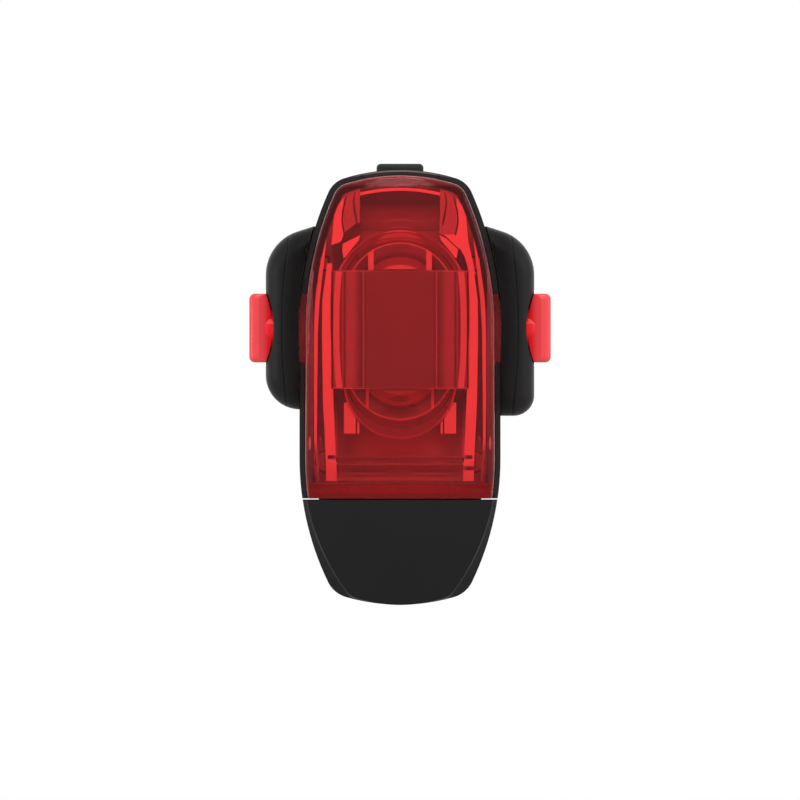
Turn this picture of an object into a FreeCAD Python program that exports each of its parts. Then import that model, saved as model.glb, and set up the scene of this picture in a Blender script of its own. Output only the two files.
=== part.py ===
import FreeCAD, Part
import math
import os

V = FreeCAD.Vector

# Millimetres. X to the right, Y to the rear, Z up. The origin is on the seat post's axis
# at the height of the two ears, and the lens faces -Y.

# Seat post and strap
post_radius = 15.8
strap_thickness = 3.0
band_height = 15.0
band_corner = 1.1
lobe_top = 14.6
lobe_shoulder = 12.1
lobe_bottom = -11.4
lobe_extra_right = 0.9
lobe_nose = 4.6
lobe_length = 16.4
lobe_round = 2.8
lobe_inner_top = 11.0
lobe_inner_low = 12.2
lobe_inner_radius = 0.4
lobe_top_radius = 6.4
lobe_left_radius = 4.8
lobe_right_radius = 2.9
strap_gap = 0.12
strap_swing = 6.0
lip_front = 1.7
taper_end = 2.0

# Saddle pad
pad_thin = 2.8
pad_half_width = 10.0
pad_top = 9.6
pad_bottom = -13.6
pad_corner = 3.0

# Body outline, seen from the front
body_half = 14.07
upper_side_radius = 46.7
lower_side_radius = 39.6
lower_side_start = -18.3
top_height = 22.15
top_radius = 26.4
shoulder_radius = 3.55
bottom_height = -38.78
bottom_radius = 27.4
corner_radius = 4.06
seam_height = -23.85
seam_gap = 0.2

# Depths
housing_depth = 11.6
lens_rise = 10.2
front_radius = 92.0
front_centre_height = 2.0
crown_radius = 62.0
back_round = 3.0
cap_front_inset = 0.5
cap_front_side_radius = 25.0
cap_front_corner = 8.0
cap_taper_depth = 4.0
cap_edge_round = 0.28

# Housing
wall = 1.6
back_wall = 1.4
floor_thickness = 1.6
rim_width = 0.7
lens_seat_depth = 1.6
spigot_side_gap = 2.67
spigot_height = 1.2
spigot_back_gap = 2.0
spigot_depth = 7.6
spigot_corner = 1.6
boss_radius = 1.6
boss_upper_inset = 7.07
boss_upper_drop = 5.85
boss_lower_inset = 3.77
boss_lower_rise = 3.65
rim_mark_x = 5.4
rim_mark_width = 0.35

# Lens
lens_fit = 0.05
lens_wall = 1.1
lens_front_inset = 0.95
lens_floor = 2.2
lens_edge_round = 0.9

# Ears
ear_half_height = 4.83
ear_depth = 5.8
neck_radius = 2.6
neck_clearance = 0.08
head_thickness = 3.25
head_bulge = 0.93
head_bulge_radius = 13.0
head_gap = 0.2
head_rear_gap = 0.7
head_round = 0.8
facet_start = 1.35
facet_slope = 22.0

# Board, battery and switch
board_thickness = 1.0
board_inset = 3.3
board_clearance = 0.15
board_foot_gap = 1.35
screw_hole_radius = 0.9
screw_head_radius = 1.35
screw_head_height = 0.8
screw_shank_radius = 0.65
screw_reach = 4.0
screw_slot_width = 0.4
screw_slot_depth = 0.5
screw_slot_half = 0.9
battery_width = 20.0
battery_thickness = 5.5
battery_gap_below = 3.45
battery_gap_above = 1.5
pad_foam = 0.35
chip_thickness = 0.9
chip_size = 3.2
chip_row = 5.7
small_part_row = 11.1
switch_width = 4.5
switch_depth = 3.6
switch_height = 3.2
plunger_rise = 0.9
plunger_radius = 0.8
lead_radius = 0.35
lead_bend = 2.2
lead_spacing = 4.6

# Button
button_width = 6.58
button_length = 4.6
button_rise = 0.88
button_corner = 1.0
button_round = 0.6
button_clearance = 0.1
button_flange = 0.5
button_travel = 0.5
button_seal_height = 0.5
button_seal_width = 0.5

# Plug
plug_width = 12.0
plug_thickness = 4.5
plug_reach = 11.75
plug_wall = 0.3
plug_inside = 4.4
plug_fit = 0.05
window_offset = 2.9
window_half = 1.2
window_start = 3.4
window_length = 2.2
carrier_margin = 1.2
carrier_drop = 1.6
carrier_gap = 0.1
carrier_rear_gap = 0.4
carrier_corner = 0.8
tongue_thickness = 1.9
contact_thickness = 0.2
contact_half = 0.5
contact_outer = 3.5
contact_inner = 1.0
contact_start = 1.0
contact_rise = 0.6

# Cap
cap_wall = 1.3
cap_fit = 0.1
seal_width = 0.45
seal_height = 0.8

# Optics
tray_gap = 0.1
tray_base = 1.0
tray_fit = 0.25
raised_drop = 4.6
sliver_drop = 5.2
sliver = [(10.0, 14.1), (11.0, 9.6), (11.75, 4.0), (11.95, -0.3), (11.95, -10.0), (11.9, -15.7),
          (11.4, -21.3), (11.15, -21.3), (11.55, -15.7), (11.5, -10.0), (11.4, -0.3), (11.15, 4.0),
          (10.5, 9.6)]
ledge = [(10.1, 9.0), (10.78, 4.0), (10.84, -0.3), (10.7, -10.0), (10.3, -18.0), (10.25, -21.3),
         (8.75, -21.3), (8.9, -18.0), (9.24, -10.0), (9.65, -0.3), (9.65, 4.0), (9.4, 9.0)]
ledge_notch = (-18.26, -17.72)
ledge_notch_outer = 10.05
panel = [(9.1, 16.24), (7.84, 18.21), (6.36, 19.0), (5.57, 19.1), (5.57, 14.6), (5.96, 14.6),
         (7.74, 13.3), (8.1, 12.3), (8.37, 11.9), (9.52, 11.54)]
panel_groove_outer = [(7.35, 18.6), (7.98, 16.15), (8.04, 14.7), (7.7, 12.9)]
panel_groove_inner = [(6.2, 19.3), (6.45, 17.4), (6.26, 16.06), (5.9, 14.3)]
groove_width = 0.22
wedge = [(5.5, 12.9), (7.94, 11.73), (8.04, 10.78), (7.85, 9.7), (7.6, 9.85), (6.7, 11.0),
         (5.75, 12.1)]
right_fill = [(5.52, 14.9), (6.1, 14.75), (7.8, 13.45), (8.4, 12.4), (8.4, 11.3), (8.2, 10.95),
              (6.0, 12.9), (5.52, 13.15)]
right_run = [(8.2, 13.3), (9.45, 12.2), (10.5, 7.46), (9.7, 7.46), (8.9, 10.1), (8.1, 11.4)]
right_groove = [(6.0, 12.95), (8.26, 10.85)]
right_notch = (8.7, 10.6, -19.8, -19.26)
leg = [(7.8, -10.4), (7.0, -10.4), (6.15, -12.6), (6.15, -14.7), (7.8, -14.7)]
leg_strip = [(5.95, -12.9), (5.65, -13.3), (5.65, -14.7), (5.95, -14.7)]
arc_inset = 2.65
arc_width = 0.42
arc_half = 6.1
ramp_half = 5.5
ramp_low = 8.55
ramp_high = 3.2
ramp_foot = 1.2
oval_upper = 4.34
oval_lower = -5.42
oval_low_pinch = 0.14
oval_low_slope = 0.75
oval_low_shift = 1.25
oval_outer = 9.3
oval_lip = 8.26
oval_ring = 7.56
oval_floor = 5.6
oval_rise = 5.8
bar_x = (3.65, 4.45)
bar_z = (8.05, 10.85)
bar_thin_x = (4.35, 4.75)
bar_low_z = (-11.2, -8.55)
lip_half = 2.4
lip_gap = 0.2
lip_height = 0.6
oval_flange = 0.8
optic_half_width = 9.5
optic_top = 7.98
optic_bottom = -8.47
optic_flat_half = 5.18
optic_shoulder = 7.7
optic_drop = 3.1
optic_wall = 1.2
optic_gap = 0.05
led_size = 2.8
led_height = 0.8
side_led_inset = 3.47
side_led_z = 9.0
side_led_width = 1.0
side_led_length = 1.6

# Planes and places that follow from the sizes above
spigot_half_width = body_half - spigot_side_gap
boss_upper_x = body_half - boss_upper_inset
boss_lower_x = body_half - boss_lower_inset
side_led_x = body_half - side_led_inset
back_y = -(post_radius + pad_thin)
rim_y = back_y - housing_depth
front_y = rim_y - lens_rise
seat_y = rim_y + lens_seat_depth
ear_y = rim_y + ear_depth / 2
board_back = rim_y + board_inset
cap_top = seam_height - seam_gap
spigot_bottom = seam_height - spigot_height
plug_tip = spigot_bottom - plug_reach
floor_top = seam_height + floor_thickness
board_front = board_back - board_thickness
spigot_y1 = back_y - spigot_back_gap
spigot_y0 = spigot_y1 - spigot_depth
plug_y = spigot_y1 - plug_thickness / 2 - 1.0
tray_back = board_front - tray_gap
strap_outer = post_radius + strap_thickness
switch_y = board_back + switch_depth / 2
board_bottom = floor_top + board_foot_gap
plug_top = floor_top + plug_inside - carrier_drop
flange_top = top_height - wall - 0.45
flange_bottom = flange_top - button_flange
switch_top = flange_bottom - plunger_rise
battery_top = switch_top - switch_height - battery_gap_above
battery_bottom = plug_top + battery_gap_below
taper_y = rim_y + cap_taper_depth
raised_front = front_y + raised_drop
sliver_front = front_y + sliver_drop
tray_inset = rim_width + lens_fit + lens_wall + tray_fit
oval_front = tray_back - oval_rise
optic_front = front_y + optic_drop
far = 4 * body_half


def box(x0, x1, y0, y1, z0, z1):
    return Part.makeBox(x1 - x0, y1 - y0, z1 - z0, V(x0, y0, z0))


def both_sides(shape):
    return [shape, shape.mirror(V(0, 0, 0), V(1, 0, 0))]


def cylinder_y(radius, x, y0, y1, z):
    return Part.makeCylinder(radius, y1 - y0, V(x, y0, z), V(0, 1, 0))


def arc_about(centre, radius, start, end):
    # the arc under a half circle from start to end
    middle = (start + end) * 0.5 - centre
    middle.normalize()
    return Part.Arc(start, centre + middle * radius, end).toShape()


def touching_centre(centre_a, radius_a, centre_b, radius_b, radius, sign):
    # centre of the circle that touches two larger circles from inside
    a = radius_a - radius
    b = radius_b - radius
    line = centre_b - centre_a
    d = line.Length
    along = (a * a - b * b + d * d) / (2 * d)
    across = math.sqrt(a * a - along * along)
    line.normalize()
    return centre_a + line * along + V(-line.z, 0, line.x) * across * sign


def body_outline(inset, y, half=body_half, low_radius=lower_side_radius,
                 corner=corner_radius, bottom_inset=None):
    # closed wire of tangent arcs: bottom, corner, side, shoulder and top, both sides
    low = inset if bottom_inset is None else bottom_inset
    top_c = V(0, y, top_height - top_radius)
    up_c = V(half - upper_side_radius, y, 0)
    low_c = V(half - low_radius, y, lower_side_start)
    bottom_c = V(0, y, bottom_height + bottom_radius)
    r_top = top_radius - inset
    r_up = upper_side_radius - inset
    r_low = low_radius - inset
    r_bottom = bottom_radius - low
    r_shoulder = max(shoulder_radius - inset, 0.4)
    r_corner = max(corner - inset, 0.4)
    shoulder_c = touching_centre(up_c, r_up, top_c, r_top, r_shoulder, 1)
    corner_c = touching_centre(low_c, r_low, bottom_c, r_bottom, r_corner, -1)

    def touch(centre, radius, small):
        return centre + (small - centre).normalize() * radius

    p_bottom = touch(bottom_c, r_bottom, corner_c)
    p_low = touch(low_c, r_low, corner_c)
    p_straight0 = V(half - inset, y, lower_side_start)
    p_straight1 = V(half - inset, y, 0)
    p_up = touch(up_c, r_up, shoulder_c)
    p_top = touch(top_c, r_top, shoulder_c)

    def flip(p):
        return V(-p.x, p.y, p.z)

    right = [
        arc_about(corner_c, r_corner, p_bottom, p_low),
        arc_about(low_c, r_low, p_low, p_straight0),
        Part.LineSegment(p_straight0, p_straight1).toShape(),
        arc_about(up_c, r_up, p_straight1, p_up),
        arc_about(shoulder_c, r_shoulder, p_up, p_top),
    ]
    left = [
        arc_about(flip(shoulder_c), r_shoulder, flip(p_top), flip(p_up)),
        arc_about(flip(up_c), r_up, flip(p_up), flip(p_straight1)),
        Part.LineSegment(flip(p_straight1), flip(p_straight0)).toShape(),
        arc_about(flip(low_c), r_low, flip(p_straight0), flip(p_low)),
        arc_about(flip(corner_c), r_corner, flip(p_low), flip(p_bottom)),
    ]
    bottom = arc_about(bottom_c, r_bottom, flip(p_bottom), p_bottom)
    top = arc_about(top_c, r_top, p_top, flip(p_top))
    return Part.Wire([bottom] + right + [top] + left)


def body_half_at(z):
    # half width of the body at a height above the ears
    return body_half - upper_side_radius + math.sqrt(upper_side_radius ** 2 - z * z)


def prism(inset, y0, y1):
    return Part.Face(body_outline(inset, y0)).extrude(V(0, y1 - y0, 0))


def above(z):
    return box(-far, far, -far, far, z, z + 2 * far)


def below(z):
    return box(-far, far, -far, far, z - 2 * far, z)


def rounded_prism(inset, radius):
    # outline prism whose rear edge is rounded, from the rim plane to the back
    solid = prism(inset, rim_y, back_y - min(inset, back_wall))
    rear = [e for e in solid.Edges if abs(e.BoundBox.YMin - solid.BoundBox.YMax) < 1e-4]
    return solid.makeFillet(radius, rear)


def front_barrel(inset):
    # everything behind the doubly curved front: a crown arc turned about a far axis
    axis_y = front_y + front_radius
    arc_c = V(0, front_y + crown_radius, front_centre_height)
    r = crown_radius - inset
    x = 24.0
    side = arc_c.y - math.sqrt(r * r - x * x)
    start = V(-x, side, front_centre_height)
    end = V(x, side, front_centre_height)
    corner_r = V(x, back_y + 10, front_centre_height)
    corner_l = V(-x, back_y + 10, front_centre_height)
    crown = Part.Arc(start, V(0, front_y + inset, front_centre_height), end).toShape()
    wire = Part.Wire([
        crown,
        Part.LineSegment(end, corner_r).toShape(),
        Part.LineSegment(corner_r, corner_l).toShape(),
        Part.LineSegment(corner_l, start).toShape(),
    ])
    face = Part.Face(wire)
    axis = V(0, axis_y, front_centre_height)
    face.rotate(axis, V(1, 0, 0), -32)
    return face.revolve(axis, V(1, 0, 0), 64)


def drafted(rear_wire, front_wire):
    return Part.makeLoft([rear_wire, front_wire], True, True)


def half_turn(points, i):
    before = points[i - 1] - points[i]
    after = points[(i + 1) % len(points)] - points[i]
    return (math.pi - before.getAngle(after)) / 2


def fitted_radii(points, radii):
    # radii cut back where the arcs of two corners would meet on a short side
    n = len(points)
    reach = [radii[i] * math.tan(half_turn(points, i)) for i in range(n)]
    share = [1.0] * n
    for i in range(n):
        j = (i + 1) % n
        room = 0.96 * (points[j] - points[i]).Length
        if reach[i] + reach[j] > room:
            share[i] = min(share[i], room / (reach[i] + reach[j]))
            share[j] = min(share[j], room / (reach[i] + reach[j]))
    return [r * f for r, f in zip(radii, share)]


def moved_in(points, radii, inset):
    # every side moved inwards; hollow corners get a larger radius, the others a smaller one
    n = len(points)
    normal = V(0, 0, 0)
    for i in range(1, n - 1):
        normal += (points[i] - points[0]).cross(points[i + 1] - points[0])
    moved = []
    rounds = []
    for i in range(n):
        before = points[i] - points[i - 1]
        after = points[(i + 1) % n] - points[i]
        side_a = normal.cross(before).normalize()
        side_b = normal.cross(after).normalize()
        moved.append(points[i] + (side_a + side_b) * (inset / (1 + side_a.dot(side_b))))
        hollow = before.cross(after).dot(normal) < 0
        rounds.append(radii[i] + inset if hollow else max(radii[i] - inset, 0.2))
    return moved, rounds


def rounded_polygon(points, radii, inset=0.0):
    # lines joined by tangent arcs, one arc at each corner, all moved in by the inset
    if inset:
        points, radii = moved_in(points, radii, inset)
    radii = fitted_radii(points, radii)
    n = len(points)
    cuts = []
    for i in range(n):
        before = (points[i - 1] - points[i]).normalize()
        after = (points[(i + 1) % n] - points[i]).normalize()
        turn = half_turn(points, i)
        if turn < 1e-6:
            cuts.append((points[i] + before, points[i] + after, None))
            continue
        reach = radii[i] * math.tan(turn)
        bisector = (before + after).normalize()
        middle = points[i] + bisector * (radii[i] / math.cos(turn) - radii[i])
        cuts.append((points[i] + before * reach, points[i] + after * reach, middle))
    edges = []
    for i in range(n):
        start, end, middle = cuts[i]
        if middle:
            edges.append(Part.Arc(start, middle, end).toShape())
        else:
            edges.append(Part.LineSegment(start, end).toShape())
        edges.append(Part.LineSegment(end, cuts[(i + 1) % n][0]).toShape())
    return Part.Wire(edges)


def rounded_rect_z(half_x, y0, y1, z0, z1, radius):
    # upright block with rounded corners in plan
    points = [V(-half_x, y0, z0), V(half_x, y0, z0), V(half_x, y1, z0), V(-half_x, y1, z0)]
    wire = rounded_polygon(points, [radius] * 4)
    return Part.Face(wire).extrude(V(0, 0, z1 - z0))


def racetrack(radius, y):
    # two round ends and their tangents; outside the ring the lower end is smaller and lower
    grow = max(radius - oval_ring, 0)
    low_radius = radius - oval_low_pinch - grow * oval_low_slope
    upper = V(0, y, oval_upper)
    lower = V(0, y, oval_lower - grow * oval_low_shift)
    lean = math.asin((radius - low_radius) / (upper.z - lower.z))

    def touch(centre, r, side):
        return centre + V(side * math.cos(lean), 0, math.sin(lean)) * r

    return Part.Wire([
        Part.Arc(touch(upper, radius, 1), upper + V(0, 0, radius),
                 touch(upper, radius, -1)).toShape(),
        Part.LineSegment(touch(upper, radius, -1), touch(lower, low_radius, -1)).toShape(),
        Part.Arc(touch(lower, low_radius, -1), lower - V(0, 0, low_radius),
                 touch(lower, low_radius, 1)).toShape(),
        Part.LineSegment(touch(lower, low_radius, 1), touch(upper, radius, 1)).toShape(),
    ])


def racetrack_prism(radius, y0, y1):
    return Part.Face(racetrack(radius, y0)).extrude(V(0, y1 - y0, 0))


def spigot_block(grow, z0, z1):
    return rounded_rect_z(spigot_half_width + grow, spigot_y0 - grow, spigot_y1 + grow,
                          z0, z1, spigot_corner + grow)


def plug_block(grow, z0, z1):
    half = plug_width / 2 + grow
    deep = plug_thickness / 2 + grow
    return rounded_rect_z(half, plug_y - deep, plug_y + deep, z0, z1, 0.5 + max(grow, 0) / 2)


def ear_notch(grow):
    return box(body_half - wall - 2, body_half + 2, rim_y - 1, rim_y + ear_depth + grow,
               -ear_half_height - grow, ear_half_height + grow)


def board_bosses():
    spots = [(boss_upper_x, top_height - boss_upper_drop),
             (boss_lower_x, floor_top + boss_lower_rise)]
    return [(side * x, z) for x, z in spots for side in (1, -1)]


def make_housing():
    shell = rounded_prism(0, back_round).common(above(seam_height))
    cavity = rounded_prism(wall, back_round - wall).common(above(floor_top))
    shell = shell.cut(cavity)
    shell = shell.cut(prism(rim_width, rim_y, seat_y))
    for notch in both_sides(ear_notch(lens_fit)):
        shell = shell.cut(notch)
    shell = shell.fuse(spigot_block(0, spigot_bottom, seam_height + 0.2))
    bosses = [cylinder_y(boss_radius, x, board_back, back_y - back_wall + 0.3, z)
              for x, z in board_bosses()]
    shell = shell.fuse([b.common(prism(wall / 2, rim_y, back_y)) for b in bosses])
    drills = [cylinder_y(0.7, x, board_back - 1, board_back + 5, z) for x, z in board_bosses()]
    shell = shell.cut(drills)
    shell = shell.cut(plug_block(plug_fit, spigot_bottom - 1, floor_top + 1))
    return shell.cut(button_hole() + rim_marks()).removeSplitter()


def rim_marks():
    # two short notches in the rim beside the button
    mark = box(rim_mark_x - rim_mark_width / 2, rim_mark_x + rim_mark_width / 2,
               rim_y - 1, rim_y + 0.5, top_height - 2.4, top_height)
    return both_sides(mark)


def button_block(grow, z0, z1):
    half = button_width / 2 + grow
    deep = button_length / 2 + grow
    return rounded_rect_z(half, switch_y - deep, switch_y + deep, z0, z1, button_corner + grow)


def seal_base():
    return top_height - wall / 2 - button_seal_height / 2


def button_hole():
    z = seal_base()
    groove = button_block(button_seal_width, z, z + button_seal_height)
    return [button_block(button_clearance, top_height - 4, top_height + 1), groove]


def make_lens():
    rear = body_outline(rim_width + lens_fit, rim_y)
    front = body_outline(lens_front_inset, front_y - 1)
    outer = drafted(rear, front).common(front_barrel(0))
    edges = [e for e in outer.Edges if e.BoundBox.YMin < rim_y - 0.5
             and e.BoundBox.YMax < rim_y - 0.5]
    outer = outer.makeFillet(lens_edge_round, edges)
    outer = outer.fuse(prism(rim_width + lens_fit, rim_y, seat_y))
    outer = outer.common(above(seam_height))
    inner_rear = body_outline(rim_width + lens_fit + lens_wall, rim_y)
    inner_front = body_outline(lens_front_inset + lens_wall, front_y - 1)
    inner = drafted(inner_rear, inner_front).common(front_barrel(lens_wall))
    inner = inner.fuse(prism(rim_width + lens_fit + lens_wall, rim_y, seat_y + 1))
    inner = inner.common(above(seam_height + lens_floor))
    lens = outer.cut(inner)
    wings = prism(0, rim_y, rim_y + ear_depth).cut(prism(wall, rim_y - 1, rim_y + ear_depth + 1))
    for notch in both_sides(ear_notch(0)):
        lens = lens.fuse(wings.common(notch))
    for ear in both_sides(make_ear()):
        lens = lens.fuse(ear)
    return lens.removeSplitter()


def head_inner():
    return strap_outer - head_bulge


def bulge(radius, y0, y1):
    # upright barrel face between head and strap, its axis along Y
    return cylinder_y(radius, head_inner() + head_bulge_radius, y0, y1, 0)


def make_ear():
    # round neck through the strap, and a head with a bowed inner face and a sloping front facet
    neck = Part.makeCylinder(neck_radius, head_inner() + 1.0 - body_half + 0.5,
                             V(body_half - 0.5, ear_y, 0), V(1, 0, 0))
    outer_x = head_inner() + head_thickness
    y0 = ear_y - ear_depth / 2
    y1 = ear_y + ear_depth / 2
    head = box(head_inner() - 0.5, outer_x, y0, y1, -ear_half_height, ear_half_height)
    edges = [e for e in head.Edges if e.BoundBox.XMax > head_inner()]
    head = head.makeFillet(head_round, edges)
    head = head.common(bulge(head_bulge_radius, y0 - 1, y1 + 1))
    facet = box(outer_x - facet_start - 20, outer_x - facet_start, y0 - 20, y0, -20, 20)
    facet.rotate(V(outer_x - facet_start, y0, 0), V(0, 0, 1), -facet_slope)
    return neck.fuse(head.cut(facet))


def make_cap():
    behind = box(-far, far, taper_y, far, -far, far)
    blank = rounded_prism(0, back_round).common(behind)
    rear = body_outline(0, taper_y)
    front = body_outline(cap_front_inset, front_y, low_radius=cap_front_side_radius,
                         corner=cap_front_corner, bottom_inset=0)
    nose = drafted(rear, front).common(front_barrel(0))
    front_edges = [e for e in nose.Edges if e.BoundBox.YMin < rim_y - 0.5
                   and e.BoundBox.YMax < rim_y - 0.5 and e.BoundBox.ZMax < top_height / 2]
    nose = nose.makeFillet(cap_edge_round, front_edges)
    cap = blank.fuse(nose).common(below(cap_top))
    inner = rounded_prism(cap_wall, back_round - cap_wall).common(behind)
    inner_rear = body_outline(cap_wall, taper_y)
    inner_front = body_outline(cap_front_inset + cap_wall, front_y,
                               low_radius=cap_front_side_radius, corner=cap_front_corner,
                               bottom_inset=cap_wall)
    inner = inner.fuse(drafted(inner_rear, inner_front).common(front_barrel(cap_wall)))
    cap = cap.cut(spigot_block(seal_width + cap_fit, spigot_bottom - 0.3, cap_top + 1))
    for pocket in cap_pockets():
        cap = cap.cut(pocket.common(inner))
    cap = cap.cut(plug_block(cap_fit, plug_tip - cap_fit, cap_top + 1))
    return cap.removeSplitter()


def cap_pockets():
    # coring beside the plug and in front of it, so that the walls stay even
    low = bottom_height
    side = box(plug_width / 2 + cap_wall, spigot_half_width + seal_width, spigot_y0, spigot_y1,
               low, cap_top + 1)
    front = box(-spigot_half_width, spigot_half_width, front_y, spigot_y0 - cap_wall,
                low, cap_top + 1)
    ribs = [box(x - 0.5, x + 0.5, front_y, back_y, low, cap_top + 1) for x in (-4.0, 4.0)]
    return both_sides(side) + [front.cut(ribs)]


def make_cap_seal():
    z1 = cap_top - 0.05
    ring = spigot_block(seal_width, z1 - seal_height, z1)
    return ring.cut(spigot_block(0, z1 - seal_height - 1, z1 + 1))


def make_button():
    top = top_height + button_rise
    head = button_block(0, flange_bottom, top)
    edges = [e for e in head.Edges if abs(e.BoundBox.ZMin - top) < 1e-6]
    head = head.makeFillet(button_round, edges)
    flange = button_block(button_flange, flange_bottom, flange_top)
    return head.fuse(flange).removeSplitter()


def make_button_seal():
    z = seal_base()
    ring = button_block(button_seal_width, z, z + button_seal_height)
    return ring.cut(button_block(0.03, z - 1, z + 2))


def make_tact_switch():
    half = switch_width / 2
    body = box(-half, half, board_back, board_back + switch_depth,
               switch_top - switch_height, switch_top)
    bore = Part.makeCylinder(plunger_radius + 0.05, 1.3, V(0, switch_y, switch_top - 1.3))
    return body.cut(bore)


def make_switch_plunger():
    low = switch_top - 1.3 + button_travel + 0.15
    return Part.makeCylinder(plunger_radius, flange_bottom - low, V(0, switch_y, low))


def make_led_board():
    board = prism(wall + board_clearance, board_front, board_back)
    board = board.common(above(board_bottom)).common(below(flange_bottom - button_travel - 0.3))
    holes = [cylinder_y(screw_hole_radius, x, board_front - board_thickness,
                        board_back + board_thickness, z) for x, z in board_bosses()]
    return board.cut(holes)


def make_board_screws():
    screws = []
    for x, z in board_bosses():
        top = board_front - screw_head_height
        head = cylinder_y(screw_head_radius, x, top, board_front, z)
        shank = cylinder_y(screw_shank_radius, x, top + screw_slot_depth,
                           board_back + screw_reach, z)
        slot = box(x - screw_slot_half, x + screw_slot_half, top - screw_slot_depth,
                   top + screw_slot_depth, z - screw_slot_width / 2, z + screw_slot_width / 2)
        screws.append(head.fuse(shank).cut(slot))
    return Part.makeCompound(screws)


def make_main_leds():
    leds = []
    for z in (oval_upper, oval_lower):
        half = led_size / 2
        base = box(-half, half, board_front - led_height / 2, board_front, z - half, z + half)
        dome = cylinder_y(half * 0.8, 0, board_front - led_height, board_front - led_height / 2, z)
        leds.append(base.fuse(dome))
    return Part.makeCompound(leds)


def make_side_leds():
    half = side_led_width / 2
    leds = []
    for side in (1, -1):
        x = side * side_led_x
        leds.append(box(x - half, x + half, board_front - 0.6, board_front,
                        side_led_z - side_led_length / 2, side_led_z + side_led_length / 2))
    return Part.makeCompound(leds)


def make_board_components():
    # charger, driver, coil and small parts on the back of the board, below the cell
    y0 = board_back
    y1 = y0 + chip_thickness
    low = board_bottom + chip_row
    row = board_bottom + small_part_row
    step = battery_width * 0.26
    parts = []
    for i in (-1, 0, 1):
        half = chip_size / 2 - 0.1 * i
        parts.append(box(i * step - half, i * step + half, y0, y1, low - 0.2 * i, low + chip_size))
    parts.append(box(-chip_size * 0.7, chip_size * 0.7, y0, y1 - 0.3, -1.0, 1.0))
    for i in (-2, -1, 0, 1, 2):
        x = i * step * 0.55
        parts.append(box(x - 0.8, x + 0.8, y0, y0 + chip_thickness / 2, row, row + 0.8))
    return Part.makeCompound(parts)


def make_battery():
    y1 = back_y - back_wall - pad_foam
    half = battery_width / 2
    cell = box(-half, half, y1 - battery_thickness, y1, battery_bottom, battery_top)
    edges = [e for e in cell.Edges if e.BoundBox.ZLength > 1]
    return cell.makeFillet(1.4, edges)


def make_battery_pad():
    y1 = back_y - back_wall
    half = battery_width / 2 - 2.5
    return box(-half, half, y1 - pad_foam, y1, battery_bottom + 3, battery_top - 3)


def make_battery_leads():
    leads = []
    y = back_y - back_wall - pad_foam - battery_thickness / 2
    for x in (-lead_spacing, lead_spacing):
        start = V(x, y, battery_top)
        rise = V(x, y, battery_top + 0.4)
        turn = V(x, y - lead_bend, battery_top + 0.4 + lead_bend)
        centre = V(x, y - lead_bend, battery_top + 0.4)
        end = V(x, board_back, turn.z)
        path = Part.Wire([
            Part.LineSegment(start, rise).toShape(),
            arc_about(centre, lead_bend, rise, turn),
            Part.LineSegment(turn, end).toShape(),
        ])
        ring = Part.Wire([Part.Circle(start, V(0, 0, 1), lead_radius).toShape()])
        leads.append(path.makePipeShell([ring], True, False))
    return Part.makeCompound(leads)


def make_usb_carrier():
    half = plug_width / 2 + carrier_margin
    block = box(-half, half, board_back + carrier_gap, back_y - back_wall - carrier_rear_gap,
                floor_top, plug_top)
    edges = [e for e in block.Edges if e.BoundBox.ZLength > 1 and e.BoundBox.XLength < 0.01]
    block = block.makeFillet(carrier_corner, edges)
    return block.cut(plug_block(plug_fit, floor_top - plug_inside, floor_top + plug_inside))


def make_usb_shell():
    shell = plug_block(0, plug_tip, plug_top).cut(plug_block(-plug_wall, plug_tip - 1, plug_top + 1))
    for x in (-window_offset, window_offset):
        window = box(x - window_half, x + window_half, plug_y - plug_thickness,
                     plug_y + plug_thickness, plug_tip + window_start,
                     plug_tip + window_start + window_length)
        shell = shell.cut(window)
    return shell


def make_usb_tongue():
    inner = plug_block(-plug_wall - 0.02, plug_tip + 0.5, plug_top)
    gap = box(-plug_width, plug_width, plug_y - plug_thickness,
              plug_y + plug_thickness / 2 - plug_wall - tongue_thickness,
              plug_tip - 1, spigot_bottom + 0.6)
    tongue = inner.cut(gap)
    return tongue.cut([s for s in contact_strips()])


def contact_strips():
    # four strips along the tongue, with tails that bend forward to the board
    face = plug_y + plug_thickness / 2 - plug_wall - tongue_thickness
    strips = []
    top = plug_top + contact_rise
    for x in (-contact_outer, -contact_inner, contact_inner, contact_outer):
        strip = box(x - contact_half, x + contact_half, face, face + contact_thickness,
                    plug_tip + contact_start, top)
        tail = box(x - contact_half, x + contact_half, board_back, face + contact_thickness,
                   top - contact_thickness, top)
        strips.append(strip.fuse(tail).removeSplitter())
    return strips


def make_saddle_pad():
    points = [V(-pad_half_width, back_y, pad_bottom), V(pad_half_width, back_y, pad_bottom),
              V(pad_half_width, back_y, pad_top), V(-pad_half_width, back_y, pad_top)]
    wire = rounded_polygon(points, [pad_corner] * 4)
    block = Part.Face(wire).extrude(V(0, pad_thin + post_radius * 0.4, 0))
    height = pad_top - pad_bottom
    post = Part.makeCylinder(post_radius, height + 20, V(0, 0, pad_bottom - 10))
    pad = block.cut(post)
    for z in (pad_bottom + height * 0.25, pad_bottom + height * 0.5, pad_bottom + height * 0.75):
        groove = Part.makeCylinder(post_radius + 0.5, 1.0, V(0, 0, z - 0.5))
        pad = pad.cut(groove)
    return pad


def lobe_corners(foot):
    # the inner side lies inside the body's outline, and the housing's own shape is cut from it
    low, low_radius = foot
    points = [V(lobe_inner_low, 0, low), V(strap_outer, 0, low), V(strap_outer, 0, lobe_shoulder),
              V(lobe_inner_top, 0, lobe_top)]
    return points, [lobe_inner_radius, low_radius, lobe_top_radius, lobe_inner_radius]


def band_corners():
    half = band_height / 2
    points = [V(post_radius, 0, -half), V(strap_outer, 0, -half), V(strap_outer, 0, half),
              V(post_radius, 0, half)]
    return points, [band_corner] * 4


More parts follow.
